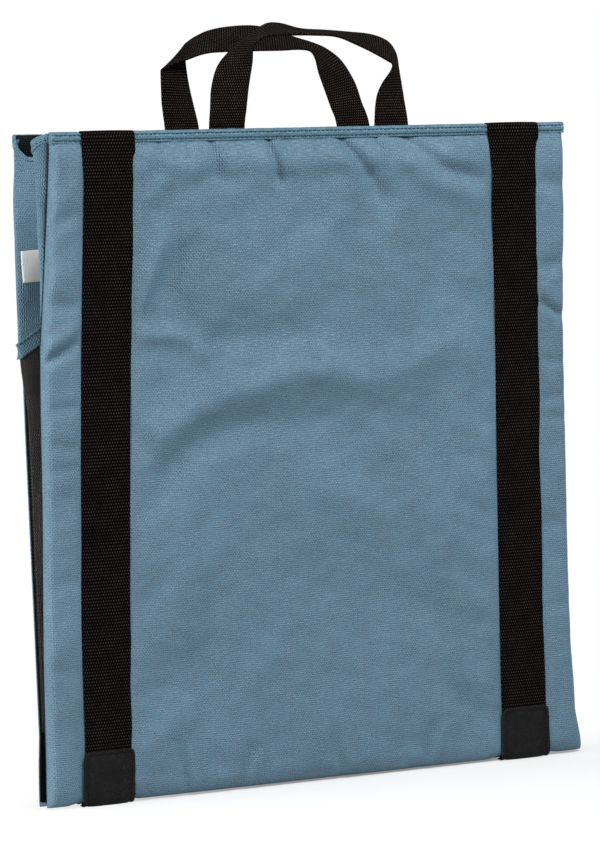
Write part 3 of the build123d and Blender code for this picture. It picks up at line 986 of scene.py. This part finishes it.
class Leaf:
    """One folding leaf of a side gusset: s runs in from its sewn edge, t up along it."""

    def __init__(self, side, face):
        self.side, self.face = side, face
        self.name = f"{side}_{face}"
        joint = joints[self.name + "_leaf_fold"]
        self.foot = np.array(joint["pos_m"]) / MM
        axis = np.array(joint["axis"], float)
        self.up = axis if axis[2] > 0 else -axis
        points = node_points(self.name + "_gusset") - self.foot
        flat = points - np.outer(points @ self.up, self.up)
        self.inwards = unit(flat[np.argmax(np.linalg.norm(flat, axis=1))])
        out = np.cross(self.inwards, self.up)
        self.turned = 1 if out[1] * (1 if face == "front" else -1) > 0 else -1
        self.out = self.turned * out
        s, t = self.across_and_up(self.name + "_gusset")
        low = t < t.min() + 1.5
        self.valley_low = (s[low].max(), t[low].max())
        self.valley_high = (s.max(), t[np.argmax(s)])
        self.top = t.max()
        s, t = self.across_and_up(self.name + "_yoke")
        self.yoke_low = t.min()
        self.yoke_far = t[np.abs(s - s.max()) < 12].min()

    def across_and_up(self, node):
        """s and t of a CAD node's vertices."""
        points = node_points(node) - self.foot
        return points @ self.inwards, points @ self.up

    def reach(self, t):
        """How far in the valley is, at a height t."""
        (s0, t0), (s1, t1) = self.valley_low, self.valley_high
        return s0 + (s1 - s0) * (t - t0) / (t1 - t0)

    def foot_edge(self, s):
        """The gusset's lower edge, which is level."""
        return self.valley_low[1] + 0 * s

    def top_edge(self, s):
        """The leaf's top edge, which drops steeply by the panel and then falls to the valley."""
        s1, t1 = self.valley_high
        return np.interp(s, [0, 12, s1], [self.top, self.top - 12, t1])

    def yoke_edge(self, s):
        """The yoke's lower edge, nearly level by the panel and then rising to the valley."""
        s1 = self.reach(self.yoke_far)
        near, far = 3 + 0.45 * s, self.yoke_far - self.yoke_low - 1.31 * (s1 - s)
        return self.yoke_low + 0.5 * (near + far + np.sqrt((near - far) ** 2 + 90))

    def roll(self, t):
        """How far the cloth rolls outwards beside the sewn edge, in millimetres."""
        if self.face == "front":
            roll = 15.5 * np.clip((t - self.yoke_low - 5) / 134, 0, 1.06) ** 0.9
        else:
            roll = 2.5 * smooth(t, 10, 60) + 6.9 * smooth(t, self.yoke_low - 45, self.yoke_low + 8)
            roll = roll - 2.4 * smooth(t, 395, HEM_FOOT)
        return roll * (1 if self.side == "left" else 0.25)

    def edge_shift(self, t):
        """How far the panel's bent edge has moved from its straight line, along x."""
        z = np.asarray(t, float)
        straight = join(SIDES[self.side] * half_width(z), 0, z)
        return (bend(straight, self.face) - straight)[..., 0]

    def surface(self, s, t):
        """Places on the leaf in millimetres, with its roll beside the sewn edge and its folds."""
        share = np.clip(s / ROLL_REACH, 0, 1)
        low, high = 0.02**0.42, 1.02**0.42
        rounding = np.sin(pi * ((share + 0.02) ** 0.42 - low) / (high - low))
        seed = 81 + 7 * (self.face == "rear") + 3 * (self.side == "right")
        slack = smooth(s, 3, 18) * (1 - smooth(s, self.reach(t) - 14, self.reach(t)))
        below = 1 - smooth(t, self.yoke_low - 30, self.yoke_low)
        creases = (0.6 + 1.9 * below) * slack * ripples(s - 0.55 * t, 0.25 * t, 40, seed)
        dents = 0.9 * (1 - below) * ripples(s, t, 34, seed + 1) * smooth(s, 0, 6)
        # The folds stay small enough for the leaves to lie flat side by side as the tote shuts.
        room = 0.35 + 0.07 * np.clip(np.minimum(s, self.reach(t) - s), 0, None)
        lift = room * np.tanh((creases + dents) / room) - VALLEY_EASE * np.clip(s / self.reach(t), 0, 1)
        spot = self.foot + s[..., None] * self.inwards + t[..., None] * self.up
        spot = spot + lift[..., None] * self.out
        roll = self.roll(t) * rounding
        aside, forward = ROLL_HEADING[self.face]
        spot[..., 0] += roll * aside * SIDES[self.side] + self.edge_shift(t) * (1 - smooth(s, 0, 30))
        spot[..., 1] += roll * forward
        return spot

    def point(self, s, t, lift):
        """Places in millimetres, lifted off the leaf's surface."""
        s, t, lift = (np.asarray(v, float) for v in np.broadcast_arrays(s, t, lift))
        run = self.surface(s + 0.15, t) - self.surface(s - 0.15, t)
        rise = self.surface(s, t + 0.4) - self.surface(s, t - 0.4)
        return self.surface(s, t) + lift[..., None] * unit(np.cross(run, rise)) * self.turned

    def hinge(self, obj):
        """Bakes a piece's place into its mesh."""
        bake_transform(obj)

    def finish(self, obj, node, slot):
        """The piece stands for that CAD node, which is hidden, and its place is baked into its mesh."""
        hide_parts(node)
        self.hinge(obj)


def leaf_sheet(leaf, piece, low, lift, start, material, rows=120):
    """A curved sheet on a leaf, from a lower edge given as a function of s to the leaf's top."""
    high = leaf.top_edge
    share_s, share_t = np.meshgrid(np.linspace(0, 1, 52) ** 1.6, np.linspace(0, 1, rows))
    s = start + (leaf.reach(0.5 * (low(0) + high(0))) - start) * share_s
    for _ in range(4):
        t = low(s) + (high(s) - low(s)) * share_t
        s = start + (leaf.reach(t) - start) * share_s
    points = leaf.point(s, t, lift) * MM
    steps = np.linalg.norm(np.diff(points, axis=1, prepend=points[:, :1]), axis=-1)
    cloth = (np.cumsum(steps, axis=1) / MM, t, 0)
    obj = add_sheet(f"{leaf.name}_{piece}_cloth", points, material, cloth, piece)
    return obj


def leaf_strip(leaf, piece, s, t, lift, width, thickness, material):
    """A narrow strip along a line on a leaf."""
    line = leaf.point(s, t, lift)
    out = unit(leaf.point(s, t, lift + 1.0) - line)
    tangent = unit(np.gradient(line, axis=0))
    across = unit(np.cross(tangent, out))
    section = strip_section(width, thickness, 0.1)
    return sweep(f"{leaf.name}_{piece}", line, across, np.cross(across, tangent), section, material,
                 lambda points: points * MM)


def build_leaf(side, face):
    """A leaf: its black gusset, blue yoke, the yoke's hem and the binding along its top."""
    leaf = Leaf(side, face)
    name = leaf.name
    gusset = leaf_sheet(leaf, "gusset", leaf.foot_edge, 0.0, -1.0, gusset_fabric)
    leaf.finish(gusset, name + "_gusset", "gusset_fabric")
    yoke = leaf_sheet(leaf, "yoke", leaf.yoke_edge, YOKE_LIFT, -1.2, yoke_fabric, rows=70)
    leaf.finish(yoke, name + "_yoke", "shell_fabric")
    graded = np.linspace(0, 1, 110) ** 1.5
    run = (leaf.reach(leaf.yoke_far) - 5.0) * graded + YOKE_HEM_START[face]
    middle = leaf.yoke_edge(run) + YOKE_HEM_WIDTH / 2 - 0.6
    hem = leaf_strip(leaf, "yoke_turned_hem", run, middle, 1.2, YOKE_HEM_WIDTH, 0.7, yoke_fabric)
    leaf.finish(hem, name + "_yoke_hem", "binding_fabric")
    run = leaf.valley_high[0] * graded - 0.5
    wide = TOP_HEM_WIDTH[face]
    top = leaf_strip(leaf, "top_hem", run, leaf.top_edge(run) + 0.4 - wide / 2, 0.6, wide, 2.2, hem_fabric)
    leaf.finish(top, name + "_binding", "binding_fabric")
    run = (leaf.reach(leaf.yoke_far) - 2) * np.linspace(0.02, 1, 140) ** 1.5
    rows = []
    seams = [(leaf.yoke_edge, 8.4, 2.0)]
    if face == "front":
        seams.append((leaf.top_edge, -3.4, 1.75))
    for edge, rise, height in seams:
        line, tip = (leaf.point(run, edge(run) + rise, height + lift) * MM for lift in (0, 1))
        rows.append((line, unit(tip - line)))
    leaf.hinge(add_stitches(name + "_yoke_stitches", rows, blue_thread))
    return leaf


# The tag stands a little in from the sewn edge, slanted, and lower than its CAD node.
TAG_START, TAG_SQUEEZE, TAG_SLANT, TAG_DROP = 8.0, 0.75, 1.0, 7.0


def build_tag(leaf):
    """The blank tag on the left rear yoke."""
    s, t = leaf.across_and_up("side_tag")
    u, v = np.meshgrid(np.linspace(0, 1, 14), np.linspace(0, 1, 12))
    width, height = TAG_SQUEEZE * np.ptp(s) - TAG_SLANT, np.ptp(t) - TAG_SLANT
    grid_s = TAG_START + TAG_SLANT + u * width - TAG_SLANT * v
    grid_t = t.min() - TAG_DROP + v * height + TAG_SLANT * u
    points = leaf.point(grid_s, grid_t, 1.7 + 0.4 * np.sin(pi * u) * v) * MM
    obj = add_sheet("left_side_tag", points, tag_fabric, (grid_s, grid_t, 0), "tag")
    leaf.finish(obj, "side_tag", "tag_fabric")


FOOT_FOLD_HEIGHT = 56.0


def build_bottom():
    """The fabric that joins the panels at the foot, and the folded foot of each side."""
    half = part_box("base_strip")[1].x / MM
    x, turn = np.meshgrid(np.linspace(-half, half, 120), np.linspace(-1, 1, 13))
    y = turn * (FOLD_Y + 0.6)
    z = FOLD_Z + 1.5 - 1.6 * np.cos(pi / 2 * turn) + 0.25 * ripples(x, y, 26, 91)
    obj = add_sheet("base_fold", join(x, y, z) * MM, shell_fabric, (x, y, 0), "base")
    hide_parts("base_strip")
    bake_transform(obj)
    for side, sign in SIDES.items():
        t, turn = np.meshgrid(np.linspace(3.5, FOOT_FOLD_HEIGHT, 26), np.linspace(-1, 1, 25))
        edge = half_width(t) + at_height(EDGE_SHIFT["front", sign], t) - 1.5
        depth = (6 + 0.5 * t) * np.cos(pi / 2 * turn) ** 0.8
        crumple = 1.2 * ripples(t + 8 * turn, 20 * turn, 26, 95 + sign) * (1 - turn**2)
        y = turn * (FOLD_Y + t * sin(LEAN) + 0.3)
        points = join(sign * (edge - depth + crumple), y, FOLD_Z + t * cos(LEAN)) * MM
        obj = add_sheet(side + "_foot_fold", points, gusset_fabric, (t, 10 * turn, 0), "foot")
        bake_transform(obj)


# ---------------------------------------------------------------- the whole tote

for face in FACES:
    build_cover(face)
    build_hem(face)
    build_board(face)
    build_lining(face)
    build_handle(face)
    for side in SIDES:
        build_band(face, side)
        build_patch(face, side)
        build_seam_tape(face, side)
        leaf = build_leaf(side, face)
        if (side, face) == ("left", "rear"):
            build_tag(leaf)
build_bottom()


# ---------------------------------------------------------------- floor, light and camera

FLOOR_GLOW = 0.24
FLOOR_SHOWN = 0.72
FLOOR_BOUNCE = 0.62
WORLD_LEVEL = 0.21
WHITE = (1, 1, 1, 1)
# The floor is shaded within this reach of a spot in front of the tote, and plain white beyond.
SHADE_CENTRE = (0.06, -0.25, 0.0)
SHADE_REACH = (0.24, 0.40)


def build_floor():
    """A plain white floor that fades into the white around it."""
    material = bpy.data.materials.new("floor_white")
    g = Graph(material)
    g.nodes.clear()
    camera_ray = g.node("LightPath", output="Is Camera Ray")
    # The camera sees the floor brighter than it lights the tote, which softens the shadow.
    bounce = g.node("BsdfDiffuse", {"Color": (*[FLOOR_BOUNCE] * 3, 1)})
    near = g.node("BsdfDiffuse", {"Color": (*[FLOOR_SHOWN] * 3, 1)})
    glow = g.node("Emission", {"Color": WHITE, "Strength": FLOOR_GLOW})
    shown = g.node("AddShader", {0: near, 1: glow})
    lit = g.node("MixShader", {0: camera_ray, 1: bounce, 2: shown})
    position = g.node("NewGeometry", output="Position")
    distance = g.node("VectorMath", {0: position, 1: SHADE_CENTRE}, "Value", operation="DISTANCE")
    inputs = {"Value": distance, "From Min": SHADE_REACH[0], "From Max": SHADE_REACH[1]}
    fade = g.node("MapRange", inputs, interpolation_type="SMOOTHSTEP")
    far = g.node("Emission", {"Color": WHITE})
    mixed = g.node("MixShader", {0: g.times(fade, camera_ray), 1: lit, 2: far})
    g.node("OutputMaterial", {0: mixed})
    bpy.ops.mesh.primitive_circle_add(vertices=96, radius=2.6, fill_type="NGON")
    floor = bpy.context.active_object
    floor.name = "floor"
    floor.data.materials.append(material)


def build_world():
    """Even light from all round, which the camera sees as plain white."""
    world = bpy.data.worlds.new("white")
    bpy.context.scene.world = world
    g = Graph(world)
    camera_ray = g.node("LightPath", output="Is Camera Ray")
    background = g.nodes["Background"].inputs
    g.put(WHITE, background["Color"])
    g.put(g.spread(camera_ray, 0.0, 1.0, WORLD_LEVEL, 1.0), background["Strength"])


def add_lamp(name, spot, size, power):
    """A square soft box that faces the tote's middle."""
    lamp = bpy.data.lights.new(name, "AREA")
    lamp.shape, lamp.size, lamp.energy = "SQUARE", size, power
    obj = add_object(name, lamp)
    obj.location = spot
    obj.rotation_euler = (Vector((0, 0, 0.25)) - Vector(spot)).to_track_quat("-Z", "Y").to_euler()


def build_camera():
    """A long lens, a little left of the front and just above the middle."""
    azimuth, elevation, roll = radians(-20.83), radians(3.5), radians(-2.25)
    distance, target = 1.860, Vector((-0.0009, 0, 0.244))
    back = Vector((sin(azimuth) * cos(elevation), -cos(azimuth) * cos(elevation), sin(elevation)))
    right = Vector((0, 0, 1)).cross(back).normalized()
    up = back.cross(right)
    right, up = right * cos(roll) + up * sin(roll), up * cos(roll) - right * sin(roll)
    camera = bpy.data.cameras.new("camera")
    camera.lens, camera.sensor_width = 114.57, 36.0
    obj = add_object("camera", camera)
    turned = Matrix((right, up, back)).transposed().to_4x4()
    obj.matrix_world = Matrix.Translation(target + back * distance) @ turned
    bpy.context.scene.camera = obj


build_floor()
build_world()
add_lamp("left", (-2.2, 0.0, 0.6), 1.6, 52)
add_lamp("top", (0.8, -1.8, 2.5), 1.0, 82)
build_camera()
bpy.context.scene.view_settings.view_transform = "Standard"
